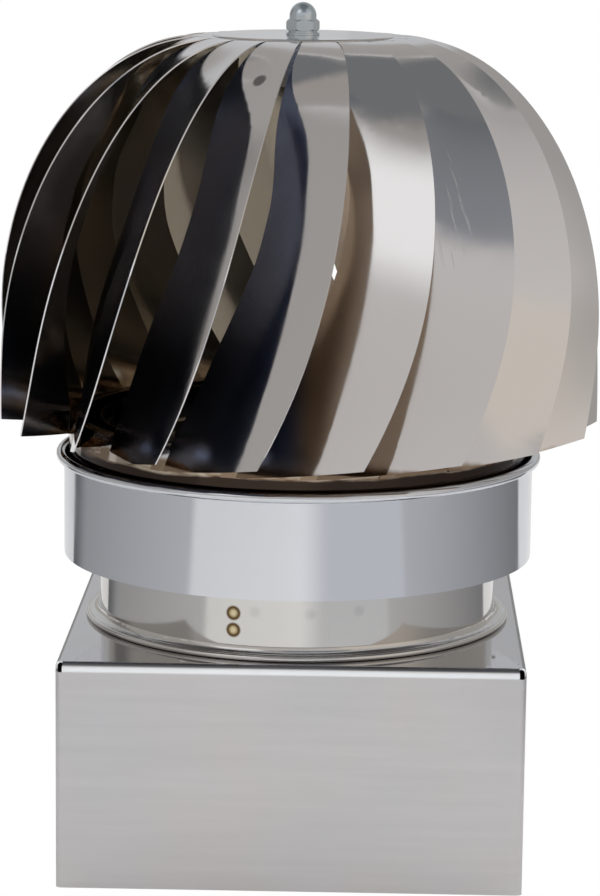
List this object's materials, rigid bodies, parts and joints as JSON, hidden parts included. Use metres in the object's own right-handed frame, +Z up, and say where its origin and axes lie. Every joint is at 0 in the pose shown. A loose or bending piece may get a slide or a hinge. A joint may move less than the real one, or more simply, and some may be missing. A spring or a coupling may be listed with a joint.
{
  "type": "roof turbine ventilator",
  "caption": "Wind-driven roof ventilator: folded square base, round neck with gutter collar, and a domed vaned head turning on a bearing-held shaft.",
  "frame": {"origin": "centre of the base's lower rim, on the head's turning axis", "axes": "+Z up along the shaft, +X and +Y square to the base's sides, the front is -Y"},
  "size_m": [0.2714, 0.2709, 0.3789],
  "materials": {
    "base_steel": "satin stainless sheet",
    "neck_steel": "bright rolled stainless sheet",
    "collar_steel": "bright rolled stainless sheet",
    "vane_steel": "mirror-polished stainless sheet",
    "ring_steel": "mirror-polished stainless sheet",
    "cross_steel": "pressed stainless plate",
    "rivet_steel": "stainless rivet",
    "housing_alloy": "turned aluminium",
    "screw_zinc": "zinc-plated steel",
    "spring_steel": "blackened spring steel",
    "bearing_steel": "ground bearing steel",
    "shaft_steel": "turned steel"
  },
  "bodies": {
    "base": {"base_box": "base_steel", "neck_tube": "neck_steel", "foot_ring": "neck_steel", "collar": "collar_steel", "collar_floor": "collar_steel", "bearing_cross": "cross_steel", "cross_rivets": "rivet_steel", "bearing_housing": "housing_alloy", "housing_screws": "screw_zinc", "housing_nuts": "screw_zinc", "bearing_circlip": "spring_steel", "upper_bearing_outer": "bearing_steel", "lower_bearing_outer": "bearing_steel", "outer_spacer": "shaft_steel"},
    "rotor": {"upper_bearing_inner": "bearing_steel", "lower_bearing_inner": "bearing_steel", "inner_spacer": "shaft_steel", "shaft": "shaft_steel", "shaft_washer": "screw_zinc", "shaft_lock_nut": "screw_zinc", "hub": "housing_alloy", "hub_rivets": "rivet_steel", "crown_plate": "vane_steel", "top_disc": "vane_steel", "top_washer": "screw_zinc", "lock_washer": "screw_zinc", "acorn_nut": "screw_zinc", "lower_ring": "ring_steel", "vane_01": "vane_steel", "vane_02": "vane_steel", "vane_03": "vane_steel", "vane_04": "vane_steel", "vane_05": "vane_steel", "vane_06": "vane_steel", "vane_07": "vane_steel", "vane_08": "vane_steel", "vane_09": "vane_steel", "vane_10": "vane_steel", "vane_11": "vane_steel", "vane_12": "vane_steel", "vane_13": "vane_steel", "vane_14": "vane_steel", "vane_15": "vane_steel", "vane_16": "vane_steel", "vane_17": "vane_steel", "vane_18": "vane_steel", "vane_19": "vane_steel"}
  },
  "joints": [
    {"name": "rotor_spin", "type": "hinge", "parent": "base", "child": "rotor", "pos_m": [0, 0, 0.2], "axis": [0, 0, 1], "continuous": true}
  ]
}
